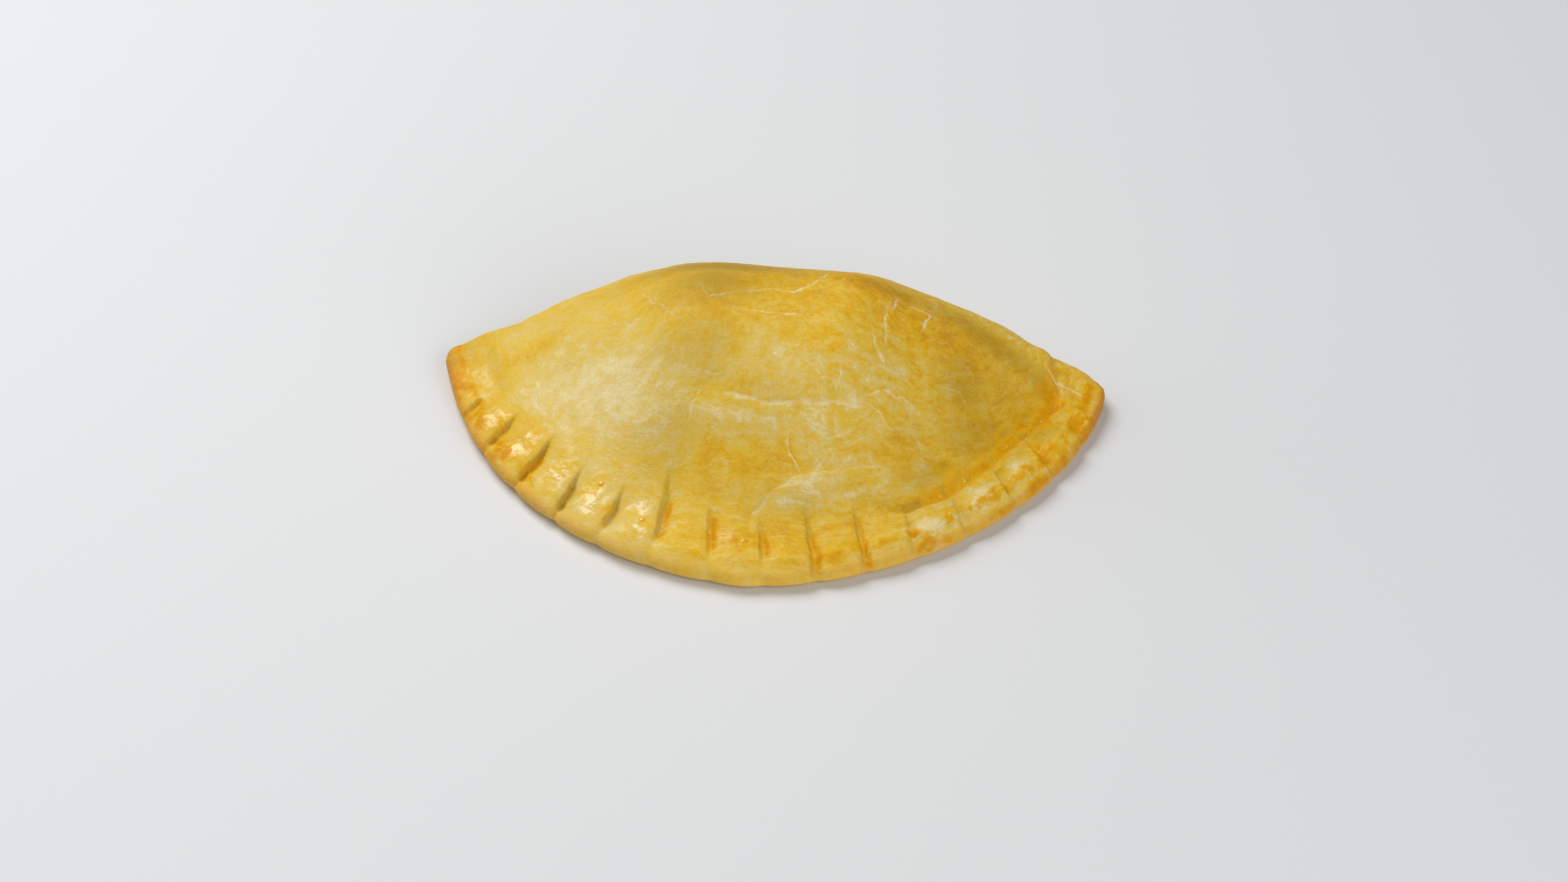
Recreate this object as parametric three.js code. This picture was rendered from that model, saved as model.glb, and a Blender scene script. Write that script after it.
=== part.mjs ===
// A half-moon meat pie: one round of pastry folded over its filling and sealed along the round
// edge. The fold lies at the back (+Y) and the crimped rim at the front (-Y).
// Units are millimetres, +Z is up, and the origin is under the middle of the pie's box, on the
// surface that it rests on.
//
// The pie is one closed solid, lofted from ribs that run from the rim over the dome to the fold,
// side by side from the left tip to the right one. In plan a rib leaves the rim along the nearest
// crimp, so the pressed marks lie along the ribs. Its profile gives the height at each distance
// from the rim.
import * as THREE from "three";

// Driving dimensions.
const HALF_LENGTH = 80;
const FRONT_DEPTH = 73.4; // from the line between the tips to the rim
const RIGHT_TIP_SWING = 2.2; // the right tip lies this far in front of that line
const SWING_EXPONENT = 10; // how far along the pie the swing starts

// The rim is half an ellipse whose two flanks are pulled in, each most at its own place.
const LEFT_FLANK = { pull: 0.057, place: 0.7 };
const RIGHT_FLANK = { pull: 0.052, place: 0.9 };

// The sealed rim: a rounded edge, then the pressed band, then the toe of the dome.
const RIM_THICKNESS = 5;
const EDGE_HEIGHT = 2.3; // where the rim reaches furthest out
const UNDERCUT = 3.6; // how far in from there the rim meets the surface
const EDGE_ROUND = 2.6;
const BAND_WIDTH = { flank: 7, middle: 11 };
const TOE_HEIGHT = 7.4;
const FULL_TOE_CREST = 20; // the toe has its full height where the crest is at least this high

// The crest's height over the length of the pie: flat at the two pressed tips, a step up where the
// filling starts, then a straight climb to a crown with two low humps.
const CREST = [
  { x: -80, height: 5 },
  { x: -71, height: 6.8 },
  { x: -66, height: 11.2 },
  { x: -59, height: 13.8 },
  { x: -51, height: 19.2 },
  { x: -40, height: 26.4 },
  { x: -29, height: 33.6 },
  { x: -18, height: 38.2 },
  { x: -3, height: 38.5 },
  { x: 12, height: 37.8 },
  { x: 20, height: 37.1 },
  { x: 34, height: 29.4 },
  { x: 50, height: 20.6 },
  { x: 64, height: 11.4 },
  { x: 69, height: 6.4 },
  { x: 80, height: 5 },
];

// The fold in plan, over the length of the pie: a long back, drawn in where the filling ends, then
// the blunt ends of the two flat tips.
const FOLD = [
  { x: -80, back: 0 },
  { x: -78.4, back: 2.6 },
  { x: -76, back: 4.2 },
  { x: -73, back: 6.2 },
  { x: -70.5, back: 6.5 },
  { x: -67, back: 7 },
  { x: -62, back: 9.2 },
  { x: -54, back: 11.2 },
  { x: -40, back: 12.6 },
  { x: -15, back: 13 },
  { x: 15, back: 13 },
  { x: 40, back: 12.6 },
  { x: 54, back: 11.2 },
  { x: 62, back: 9.2 },
  { x: 66, back: 7.8 },
  { x: 69, back: 6.8 },
  { x: 71.5, back: 7.2 },
  { x: 74, back: 6.5 },
  { x: 76, back: 4 },
  { x: 78.3, back: 1.4 },
  { x: 80, back: -RIGHT_TIP_SWING },
];

// The dome between the toe and the fold.
const CREST_PLACE = 0.6; // share of the way from the toe to the fold
const CREST_READ = 0.75; // a rib has the crest's height at this share of its way
const FRONT_SWELL = 1.1; // 1 starts the dome steeply, more starts it in a hollow
const FOLD_SQUARENESS = 2.4; // 2 would make the back of the dome a plain ellipse
const FOLD_HEIGHT_SHARE = 0.32; // the fold is widest at this share of the crest's height
const FOLD_TUCK = 6; // from the fold's widest place in to where it touches down

// Pressed marks round the rim. `at` is the place in degrees round from the left tip, `lean` turns
// the mark from pointing at the middle towards the fold, `start` is its distance from the edge.
const CRIMPS = [
  { at: 17.5, lean: -2, start: 0.6, length: 8, depth: 1.1 },
  { at: 28.3, lean: 1, start: 1.0, length: 12.5, depth: 1.9 },
  { at: 40, lean: -2, start: 0.9, length: 14.5, depth: 2.5 },
  { at: 51.7, lean: 3.5, start: 1.0, length: 13, depth: 2.5 },
  { at: 61.8, lean: 0, start: 3.0, length: 11.5, depth: 2.2 },
  { at: 72.7, lean: 5.5, start: 3.5, length: 17, depth: 1.9 },
  { at: 83.6, lean: 11, start: 4.0, length: 15, depth: 1.9 },
  { at: 92.4, lean: 7, start: 3.4, length: 13.5, depth: 2.0 },
  { at: 101.2, lean: 5.5, start: 0, length: 18, depth: 2.0 },
  { at: 109.8, lean: -0.5, start: 0.4, length: 16, depth: 1.8 },
  { at: 119.6, lean: -2.5, start: 1.2, length: 11, depth: 1.4 },
  { at: 130.3, lean: 0, start: 0.4, length: 11, depth: 1.5 },
  { at: 142.1, lean: -4, start: 0.3, length: 11, depth: 1.5 },
  { at: 154.4, lean: 12, start: 0.6, length: 12, depth: 1.4 },
  { at: 164.5, lean: -10, start: 0.4, length: 9, depth: 1.1 },
];
const CRIMP_HALF_WIDTH = 1.5;
const LEAVE_PULL = 0.6; // how far a rib runs on in its mark's direction, as a share of its reach
const ARRIVE_PULL = 0.2; // and how far it runs straight into the fold
const PAD_SWELL = 0.5; // the pastry stands proud between two marks
const EDGE_NOTCH = 0.3; // a mark draws the edge in by this share of its depth

// How finely the loft is cut.
const RIB_OFFSETS = [-1.9, -0.85, 0, 0.85, 1.9];
const PAD_RIBS = 2;
const TIP_RIBS = 7;
const EDGE_STEPS = 3;
const BAND_STEPS = 7;
const DOME_STEPS = 9;
const FOLD_STEPS = 9;
const TUCK_STEPS = 3;
const BASE_STEPS = 3;

const QUARTER_TURN = Math.PI / 2;
const MEAN_RADIUS = (HALF_LENGTH + FRONT_DEPTH) / 2;
const DEGREES_PER_MM = THREE.MathUtils.radToDeg(1 / MEAN_RADIUS);
const { degToRad, lerp, clamp, smoothstep } = THREE.MathUtils;

// A smooth line through stations of a value over the length of the pie.
function lineThrough(stations, value) {
  const line = new THREE.SplineCurve(stations.map((station) => new THREE.Vector2(station.x, station[value])));
  return (x) => {
    const next = clamp(stations.findIndex((station) => station.x > x), 1, stations.length - 1);
    const [a, b] = [stations[next - 1], stations[next]];
    const share = clamp((x - a.x) / (b.x - a.x), 0, 1);
    return line.getPoint((next - 1 + share) / (stations.length - 1)).y;
  };
}

const crestHeight = lineThrough(CREST, "height");
const foldBack = lineThrough(FOLD, "back");

// The rim in plan at an angle in degrees round from the left tip, with the tips on y = 0.
function rimPoint(angle) {
  const flank = angle < 90 ? LEFT_FLANK : RIGHT_FLANK;
  const round = Math.min(angle, 180 - angle) / 90;
  const reach = 1 - flank.pull * Math.sin(Math.PI * round ** flank.place);
  const turn = degToRad(angle);
  const point = new THREE.Vector2(-HALF_LENGTH * Math.cos(turn), -FRONT_DEPTH * Math.sin(turn));
  point.multiplyScalar(reach);
  point.y -= RIGHT_TIP_SWING * Math.max(0, point.x / HALF_LENGTH) ** SWING_EXPONENT;
  return point;
}

// How the marks' lean changes from one to the next.
function leanAt(angle) {
  const next = CRIMPS.findIndex((crimp) => crimp.at > angle);
  if (next === 0) return CRIMPS[0].lean;
  if (next < 0) return CRIMPS[CRIMPS.length - 1].lean;
  const [a, b] = [CRIMPS[next - 1], CRIMPS[next]];
  return lerp(a.lean, b.lean, smoothstep(angle, a.at, b.at));
}

// A rib's path in plan, from the rim to the fold.
function ribPath(angle) {
  const start = rimPoint(angle);
  const end = new THREE.Vector2(start.x, foldBack(start.x));
  const reach = start.distanceTo(end);
  const heading = degToRad(angle + leanAt(angle));
  const leave = new THREE.Vector2(Math.cos(heading), Math.sin(heading)).multiplyScalar(reach * LEAVE_PULL);
  const arrive = new THREE.Vector2(0, -reach * ARRIVE_PULL);
  return new THREE.CubicBezierCurve(start, start.clone().add(leave), end.clone().add(arrive), end);
}

// The depth of the marks near a rib, each times what `along` makes of it.
function pressedDepth(angle, along) {
  return CRIMPS.reduce((sum, crimp) => {
    const aside = (angle - crimp.at) / DEGREES_PER_MM / CRIMP_HALF_WIDTH;
    return sum + crimp.depth * along(crimp) * Math.exp(-aside * aside);
  }, 0);
}

// How deep the marks press into the top at a distance from the edge.
function crimpDepth(angle, distance) {
  return pressedDepth(angle, ({ start, length }) => {
    const share = clamp((distance - start) / length, 0, 1);
    return Math.sin(Math.PI * share ** 0.8);
  });
}

// How far the marks draw the edge in.
function edgeNotch(angle, distance) {
  return pressedDepth(angle, () => EDGE_NOTCH * (1 - smoothstep(distance, 0, UNDERCUT)));
}

// How far the pads between the marks stand proud.
function padSwell(span, bandWidth, distance) {
  const onBand = smoothstep(distance, 0, EDGE_ROUND) * (1 - smoothstep(distance, bandWidth, bandWidth * 2));
  return PAD_SWELL * onBand * smoothstep(span, 8, 40);
}

// A rib's profile in five runs: under the edge, over the edge, the band, the dome up to its crest,
// and the fold down to where it touches down. `top` is 1 where the marks can press.
function ribProfile(span, crest, bandWidth) {
  const fit = Math.min(1, span / 40); // near the tips all widths shrink to the rib
  const edge = EDGE_ROUND * fit;
  const toe = Math.min(EDGE_ROUND + bandWidth, span * 0.45);
  const toeHeight = lerp(RIM_THICKNESS, TOE_HEIGHT, smoothstep(crest, RIM_THICKNESS, FULL_TOE_CREST));
  const crestAt = lerp(toe, span, CREST_PLACE);
  const foldHeight = crest * FOLD_HEIGHT_SHARE;
  const tuck = FOLD_TUCK * fit;
  const squareness = 2 / FOLD_SQUARENESS;
  const points = [];
  const run = (steps, place) => {
    for (let i = 0; i < steps; i += 1) points.push(place(i / steps));
  };
  run(EDGE_STEPS, (share) => ({
    distance: UNDERCUT * fit * (1 - Math.sin(QUARTER_TURN * share)),
    height: EDGE_HEIGHT * (1 - Math.cos(QUARTER_TURN * share)),
    top: 0,
  }));
  run(EDGE_STEPS, (share) => ({
    distance: edge * (1 - Math.cos(QUARTER_TURN * share)),
    height: lerp(EDGE_HEIGHT, RIM_THICKNESS, Math.sin(QUARTER_TURN * share)),
    top: share,
  }));
  run(BAND_STEPS, (share) => ({
    distance: lerp(edge, toe, share),
    height: lerp(RIM_THICKNESS, toeHeight, share),
    top: 1,
  }));
  run(DOME_STEPS, (share) => ({
    distance: lerp(toe, crestAt, share),
    height: lerp(toeHeight, crest, Math.sin(QUARTER_TURN * share) ** FRONT_SWELL),
    top: 1,
  }));
  run(FOLD_STEPS, (share) => ({
    distance: lerp(crestAt, span, Math.sin(QUARTER_TURN * share) ** squareness),
    height: lerp(foldHeight, crest, Math.cos(QUARTER_TURN * share) ** squareness),
    top: 0,
  }));
  run(TUCK_STEPS, (share) => ({
    distance: span - tuck * (1 - Math.cos(QUARTER_TURN * share)),
    height: foldHeight * (1 - Math.sin(QUARTER_TURN * share)),
    top: 0,
  }));
  points.push({ distance: span - tuck, height: 0, top: 0 });
  return points;
}

// One closed rib: its profile over the pie, and then its way back along the flat base.
function rib(angle) {
  const path = ribPath(angle);
  const span = path.getLength();
  const place = (distance) => path.getPointAt(clamp(distance / span, 0, 1));
  const crest = crestHeight(place(span * CREST_READ).x);
  const bandWidth = lerp(BAND_WIDTH.flank, BAND_WIDTH.middle, Math.sin(degToRad(angle)) ** 4);
  const profile = ribProfile(span, crest, bandWidth);
  const ring = profile.map(({ distance, height, top }) => {
    const { x, y } = place(distance + edgeNotch(angle, distance));
    const swell = padSwell(span, bandWidth, distance) - crimpDepth(angle, distance);
    return new THREE.Vector3(x, y, height + swell * top);
  });
  const from = profile[profile.length - 1].distance;
  const to = profile[0].distance;
  for (let i = 1; i < BASE_STEPS; i += 1) {
    const { x, y } = place(lerp(from, to, i / BASE_STEPS));
    ring.push(new THREE.Vector3(x, y, 0));
  }
  return ring;
}

// The ribs' angles: close together across each mark, wider over the pads between.
function ribAngles() {
  const angles = [];
  CRIMPS.forEach((crimp) => {
    const first = crimp.at + RIB_OFFSETS[0] * DEGREES_PER_MM;
    if (angles.length > 0) {
      const last = angles[angles.length - 1];
      for (let i = 1; i <= PAD_RIBS; i += 1) angles.push(lerp(last, first, i / (PAD_RIBS + 1)));
    }
    RIB_OFFSETS.forEach((offset) => angles.push(crimp.at + offset * DEGREES_PER_MM));
  });
  const first = angles[0];
  const last = angles[angles.length - 1];
  for (let i = 1; i <= TIP_RIBS; i += 1) {
    const share = 1 - i / (TIP_RIBS + 1);
    angles.unshift(first * share);
    angles.push(180 - (180 - last) * share);
  }
  return angles;
}

// Closes the ribs into one surface, with a point at each tip.
function loft(rings, firstTip, lastTip) {
  const size = rings[0].length;
  const points = [firstTip, ...rings.flat(), lastTip];
  const end = points.length - 1;
  const at = (ring, step) => 1 + ring * size + (step % size);
  const triangles = [];
  for (let step = 0; step < size; step += 1) {
    triangles.push(0, at(0, step), at(0, step + 1));
    triangles.push(end, at(rings.length - 1, step + 1), at(rings.length - 1, step));
    for (let ring = 0; ring + 1 < rings.length; ring += 1) {
      triangles.push(at(ring, step), at(ring + 1, step), at(ring + 1, step + 1));
      triangles.push(at(ring, step), at(ring + 1, step + 1), at(ring, step + 1));
    }
  }
  const geometry = new THREE.BufferGeometry().setFromPoints(points);
  geometry.setIndex(triangles);
  return geometry;
}

function pieGeometry() {
  const tip = (angle) => new THREE.Vector3(...rimPoint(angle), EDGE_HEIGHT);
  const geometry = loft(ribAngles().map(rib), tip(0), tip(180));
  geometry.computeBoundingBox();
  const middle = geometry.boundingBox.getCenter(new THREE.Vector3());
  geometry.translate(-middle.x, -middle.y, 0);
  geometry.computeVertexNormals();
  return geometry;
}

const bakedPastry = new THREE.MeshStandardMaterial({
  color: 0xd9b050,
  roughness: 0.45,
  metalness: 0,
});

const meatPie = new THREE.Mesh(pieGeometry(), bakedPastry);
meatPie.name = "meat_pie";

const pie = new THREE.Group();
pie.add(meatPie);

export default pie;
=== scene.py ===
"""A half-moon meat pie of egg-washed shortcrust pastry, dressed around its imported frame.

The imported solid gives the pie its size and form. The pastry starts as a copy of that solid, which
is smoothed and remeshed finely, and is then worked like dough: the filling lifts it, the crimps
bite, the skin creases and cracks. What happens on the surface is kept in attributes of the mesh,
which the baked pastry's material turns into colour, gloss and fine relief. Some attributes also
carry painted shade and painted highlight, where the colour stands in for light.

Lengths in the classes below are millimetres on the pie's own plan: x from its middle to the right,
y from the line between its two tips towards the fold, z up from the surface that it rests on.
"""

from __future__ import annotations

import logging
import math
from collections.abc import Sequence
from dataclasses import dataclass
from enum import Enum

import bpy
import numpy as np
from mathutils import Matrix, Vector, bvhtree, kdtree, noise
from mathutils.geometry import convex_hull_2d


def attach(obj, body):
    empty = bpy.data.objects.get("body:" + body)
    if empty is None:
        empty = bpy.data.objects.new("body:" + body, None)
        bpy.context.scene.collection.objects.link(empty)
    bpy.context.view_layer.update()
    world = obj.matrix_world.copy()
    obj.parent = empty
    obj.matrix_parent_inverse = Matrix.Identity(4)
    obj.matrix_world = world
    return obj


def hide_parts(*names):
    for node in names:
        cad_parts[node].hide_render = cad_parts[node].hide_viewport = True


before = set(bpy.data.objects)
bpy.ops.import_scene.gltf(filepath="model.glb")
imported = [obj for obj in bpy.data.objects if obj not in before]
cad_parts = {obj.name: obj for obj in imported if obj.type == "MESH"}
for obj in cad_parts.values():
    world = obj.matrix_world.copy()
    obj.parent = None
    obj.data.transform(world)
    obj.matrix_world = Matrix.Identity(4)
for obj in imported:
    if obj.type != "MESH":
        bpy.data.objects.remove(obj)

LOG = logging.getLogger("meat_pie")
MM = 0.001
NODE = "meat_pie"
BODY = "root"
NOISE_DIMENSION = 1.0
NOISE_LACUNARITY = 2.0
BEYOND_ANY_CRACK = 9.0

Array = np.ndarray
Socket = bpy.types.NodeSocket
Span = tuple[float, float]


class Mark(str, Enum):
    """The attributes that carry what happened to the pastry's surface."""

    WASH = "wash"  # how thick the egg wash lies, thinner in places as painted highlight
    AMBER = "amber"  # where it pooled and browned
    TOAST = "toast"  # where the edge baked darkest
    CRACK = "crack_mm"  # how far away the nearest crack is
    FLAKE = "flake"  # how open that crack is
    SHADE = "shade"  # painted shade: the crust darkened where shade falls on it
    GLOSS = "gloss"  # where the wash set glossy
    LIP = "lip"  # the smooth, paler edge
    DENT_SHADE = "dent_shade"  # painted shade on the steep walls of the press's marks


def smoothstep(value: Array, low: float, high: float) -> Array:
    """Rise smoothly from 0 at low to 1 at high.

    Args:
        value: What is compared with the limits.
        low: Where the rise starts.
        high: Where it ends. It may be the smaller of the two.

    Returns:
        The risen values.
    """
    share = np.clip((value - low) / (high - low), 0, 1)
    return share * share * (3 - 2 * share)


def bell(value: Array, width: float) -> Array:
    """Fall from 1 at zero to about a third at the width, and on towards 0."""
    return np.exp(-((value / width) ** 2))


def lopsided(value: Array, above: float, below: float) -> Array:
    """Fall as a bell does, with one width above zero and another below it."""
    return bell(np.where(value > 0, value / above, value / below), 1.0)


@dataclass(frozen=True)
class Grain:
    """Unevenness of one lump size, the same at each run."""

    height: float
    size: float
    seed: float
    octaves: int = 2

    def over(self, points: Array) -> Array:
        """Sample the unevenness.

        Args:
            points: Points in millimetres, one in each row.

        Returns:
            Values from about minus the height to plus the height.
        """
        places = (points / self.size + self.seed).tolist()
        shape = NOISE_DIMENSION, NOISE_LACUNARITY, self.octaves
        values = (noise.fractal(place, *shape) for place in places)
        return self.height * np.fromiter(values, float, len(places))


@dataclass(frozen=True)
class Around:
    """A value that changes on the way round the pie, from its left tip to its right one."""

    degrees: tuple[float, ...]
    values: tuple[float, ...]

    def at(self, turn: Array) -> Array:
        """Find the value at places that lie so many degrees round the pie."""
        return np.interp(turn, self.degrees, self.values)


@dataclass(frozen=True)
class Strength:
    """A strength that is at least so much everywhere, and so much more in places."""

    least: float
    more: float

    def at(self, share: Array) -> Array:
        """Find the strength where a share, from 0 to 1, of the more is there."""
        return self.least + self.more * share


@dataclass(frozen=True)
class Patch:
    """A soft-edged patch on the pie's plan, strongest at its middle."""

    x: float
    y: float
    width: float
    depth: float
    strength: float
    turn: float = 0.0

    def over(self, x: Array, y: Array) -> Array:
        """Spread the patch over points of the plan.

        Args:
            x: Places along the pie.
            y: Places from the tips' line.

        Returns:
            What the patch adds at each point.
        """
        cos, sin = math.cos(math.radians(self.turn)), math.sin(math.radians(self.turn))
        along = (x - self.x) * cos + (y - self.y) * sin
        across = (y - self.y) * cos - (x - self.x) * sin
        return self.strength * bell(along, self.width) * bell(across, self.depth)


@dataclass(frozen=True)
class Trace:
    """A crease, crack or fold that runs through a few points of the plan.

    The depth of a crease is in millimetres, and that of a crack says how open it is.
    """

    points: tuple[tuple[float, float], ...]
    width: float = 1.0
    depth: float = 1.0

    def away(self, x: Array, y: Array) -> Array:
        """Measure how far points of the plan lie from the trace.

        Args:
            x: Places along the pie.
            y: Places from the tips' line.

        Returns:
            The distances, positive on the left of the trace's way and negative on its right.
        """
        nearest = np.full(len(x), np.inf)
        side = np.ones(len(x))
        for (ax, ay), (bx, by) in zip(self.points, self.points[1:]):
            run, rise = bx - ax, by - ay
            share = np.clip(((x - ax) * run + (y - ay) * rise) / (run * run + rise * rise), 0, 1)
            gap = np.hypot(x - ax - share * run, y - ay - share * rise)
            closer = gap < nearest
            side = np.where(closer, np.sign(run * (y - ay) - rise * (x - ax)), side)
            nearest = np.where(closer, gap, nearest)
        return nearest * side


@dataclass(frozen=True)
class Crimp:
    """One mark of the hand press, from its outer end near the edge to its inner end.

    The wall is how wide its steep left wall is, and the slope how far its floor climbs to the right.
    The spans say where something comes in or fades out: the runs in millimetres along the mark, the
    shares and where it narrows in parts of its length, the others in millimetres across it.
    """

    outer: Span
    inner: Span
    depth: float
    amber: float
    slope: float
    wall: float = 0.7
    wall_foot: float = 0.3
    floor_start: float = 0.5
    near_part: float = 0.45
    near_reach: float = 0.4
    far_part: float = 0.55
    bite_run: Span = (-4.0, 2.0)
    bite_share: Span = (1.15, 0.5)
    bite_narrows: Span = (1.0, 0.3)
    bite_width: Strength = Strength(0.55, 0.45)
    ridge_height: float = 0.12
    ridge_away: float = 2.0
    ridge_width: float = 1.0
    # Where shade is painted on the mark's steep wall and its foot.
    dark_depth: float = 1.5
    dark_run: Span = (-0.5, 2.5)
    dark_share: Span = (1.2, 0.6)
    dark_narrows: Span = (1.0, 0.35)
    dark_width: Strength = Strength(0.45, 0.55)
    dark_wall: Span = (-0.9, -0.2)
    dark_floor: Span = (2.0, 0.5)
    pool_run: Span = (-0.6, 1.6)
    pool_share: Span = (0.95, 0.4)
    pool_away: float = 1.3
    pool_width: float = 1.1

    def places(self, x: Array, y: Array) -> tuple[Array, Array, float]:
        """Place points of the plan in the mark's own directions.

        Args:
            x: Places along the pie.
            y: Places from the tips' line.

        Returns:
            How far along the mark each point lies, how far to its right, and the mark's length.
        """
        run, rise = self.inner[0] - self.outer[0], self.inner[1] - self.outer[1]
        length = math.hypot(run, rise)
        from_x, from_y = x - self.outer[0], y - self.outer[1]
        along = (from_x * run + from_y * rise) / length
        right = (from_x * rise - from_y * run) / length
        return along, right, length

    def bite(self, x: Array, y: Array) -> Array:
        """Work out how deep the mark bites.

        It is a lens that is widest near the edge and thins out inwards. Its left wall is steep, and
        its floor climbs slowly to the right, as far as the lip that the next mark pushed up.

        Args:
            x: Places along the pie.
            y: Places from the tips' line.

        Returns:
            How far each point sinks.
        """
        along, right, length = self.places(x, y)
        share = along / length
        run = smoothstep(along, *self.bite_run) * smoothstep(share, *self.bite_share)
        across = right / self.bite_width.at(smoothstep(share, *self.bite_narrows))
        floor = self.near_part * smoothstep(across, self.near_reach * self.slope, self.floor_start)
        floor += self.far_part * smoothstep(right, self.slope, self.floor_start)
        wall = smoothstep(across, -self.wall, self.wall_foot)
        hollow = np.where(right < self.wall_foot, wall, floor)
        ridge = self.ridge_height * bell(across + self.ridge_away, self.ridge_width)
        return self.depth * run * (hollow - ridge)

    def shadowed(self, x: Array, y: Array) -> Array:
        """Paint shade on the mark's steep wall and its foot, the more the deeper it is.

        Args:
            x: Places along the pie.
            y: Places from the tips' line.

        Returns:
            How much painted shade each point takes.
        """
        along, right, length = self.places(x, y)
        share = along / length
        run = smoothstep(along, *self.dark_run) * smoothstep(share, *self.dark_share)
        across = right / self.dark_width.at(smoothstep(share, *self.dark_narrows))
        dark = run * smoothstep(across, *self.dark_wall) * smoothstep(across, *self.dark_floor)
        return dark * min(1, (self.depth / self.dark_depth) ** 3)

    def pooled(self, x: Array, y: Array) -> Array:
        """Work out where egg wash ran together in the mark.

        Args:
            x: Places along the pie.
            y: Places from the tips' line.

        Returns:
            How much of it lies at each point.
        """
        along, right, length = self.places(x, y)
        run = smoothstep(along, *self.pool_run) * smoothstep(along / length, *self.pool_share)
        return self.amber * run * bell(right - self.pool_away, self.pool_width)


class Plan:
    """The pie's plan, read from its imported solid."""

    rim_step: float = 0.4

    def __init__(self, node: bpy.types.Object) -> None:
        """Find the tips' line and the rim of the solid.

        Args:
            node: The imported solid.
        """
        points = np.array([v.co for v in node.data.vertices]) / MM
        low, high = points.min(0), points.max(0)
        self.half_length = float(high[0] - low[0]) / 2
        self.tips_y = float(points[np.argmin(points[:, 0])][1])
        self.front_depth = self.tips_y - float(low[1])
        self.rim = self._rim(points - (0, self.tips_y, 0))

    def _rim(self, points: Array) -> kdtree.KDTree:
        """Trace the outline of the crimped side closely.

        Args:
            points: The solid's points.

        Returns:
            A tree of places along that outline.
        """
        hull = points[convex_hull_2d(points[:, :2].tolist()), :2]
        steps = []
        for start, end in zip(hull, np.roll(hull, -1, axis=0)):
            if start[1] + end[1] < 0:
                count = int(np.hypot(*(end - start)) / self.rim_step) + 1
                steps.append(start + np.linspace(0, 1, count)[:, None] * (end - start))
        outline = np.concatenate(steps)
        tree = kdtree.KDTree(len(outline))
        for x, y in outline:
            tree.insert((x, y, 0), 0)
        tree.balance()
        return tree

    def turn(self, x: Array, y: Array) -> Array:
        """Work out how many degrees round from the left tip places of the plan lie.

        Args:
            x: Places along the pie.
            y: Places from the tips' line.

        Returns:
            The degrees, as the half-ellipse of the rim counts them.
        """
        return np.degrees(np.arctan2(-y / self.front_depth, -x / self.half_length))

    def from_rim(self, x: Array, y: Array) -> Array:
        """Measure how far in from the rim places of the plan lie.

        Args:
            x: Places along the pie.
            y: Places from the tips' line.

        Returns:
            The distances.
        """
        places = np.column_stack((x, y, np.zeros(len(x)))).tolist()
        return np.fromiter((self.rim.find(place)[2] for place in places), float, len(places))


class Skin:
    """The pastry's fine mesh as arrays, with the edges that join its points."""

    def __init__(self, piece: bpy.types.Object, plan: Plan) -> None:
        """Read the mesh.

        Args:
            piece: The pastry.
            plan: The pie's plan.
        """
        self.piece = piece
        self.plan = plan
        mesh = piece.data
        self.count = len(mesh.vertices)
        edges = np.empty(len(mesh.edges) * 2, int)
        mesh.edges.foreach_get("vertices", edges)
        self.edges = edges.reshape(-1, 2)
        self.valence = np.bincount(self.edges.ravel(), minlength=self.count)
        self.points = self._read(mesh.vertices, "co") / MM - (0, plan.tips_y, 0)
        self.normals = self._read(mesh.vertex_normals, "vector")
        self.rim = np.zeros(self.count)

    def _read(self, source: Sequence[object], name: str) -> Array:
        """Read one vector for each point of the mesh.

        Args:
            source: The mesh's collection that holds the vectors.
            name: What they are called in it.

        Returns:
            The vectors, one in each row.
        """
        values = np.empty(self.count * 3, np.float32)
        source.foreach_get(name, values)
        return values.reshape(-1, 3).astype(float)

    @property
    def x(self) -> Array:
        """Places along the pie."""
        return self.points[:, 0]

    @property
    def y(self) -> Array:
        """Places from the tips' line."""
        return self.points[:, 1]

    @property
    def z(self) -> Array:
        """Heights."""
        return self.points[:, 2]

    def blurred(self, values: Array, rounds: int) -> Array:
        """Average values with their neighbours' again and again.

        Args:
            values: One number, or one row, for each point.
            rounds: How many times to average.

        Returns:
            The averaged values.
        """
        a, b = self.edges[:, 0], self.edges[:, 1]
        result = []
        for column in values.reshape(self.count, -1).T:
            for _ in range(rounds):
                total = np.bincount(a, column[b], self.count) + np.bincount(b, column[a], self.count)
                column = (column + total) / (1 + self.valence)
            result.append(column)
        return np.array(result).T.reshape(values.shape)

    def measure(self) -> None:
        """Note how far in from the rim each point lies."""
        self.rim = self.plan.from_rim(self.x, self.y)

    def push(self, amount: Array) -> None:
        """Move each point along its normal by an amount in millimetres."""
        self.points += self.normals * amount[:, None]

    def write(self) -> None:
        """Put the moved points back into the mesh, none of them below the base."""
        self.points[:, 2] = np.maximum(self.points[:, 2], 0)
        mesh = self.piece.data
        places = (self.points + (0, self.plan.tips_y, 0)) * MM
        mesh.vertices.foreach_set("co", places.astype(np.float32).ravel())
        mesh.update()
        self.normals = self._read(mesh.vertex_normals, "vector")

    def keep(self, mark: Mark, values: Array) -> None:
        """Store one number for each point under a mark's name."""
        layer = self.piece.data.attributes.new(mark.value, "FLOAT", "POINT")
        layer.data.foreach_set("value", values.astype(np.float32))


def activate(piece: bpy.types.Object) -> None:
    """Select one object alone and make it the active one.

    Args:
        piece: The object.
    """
    bpy.ops.object.select_all(action="DESELECT")
    piece.select_set(True)
    bpy.context.view_layer.objects.active = piece


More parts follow.
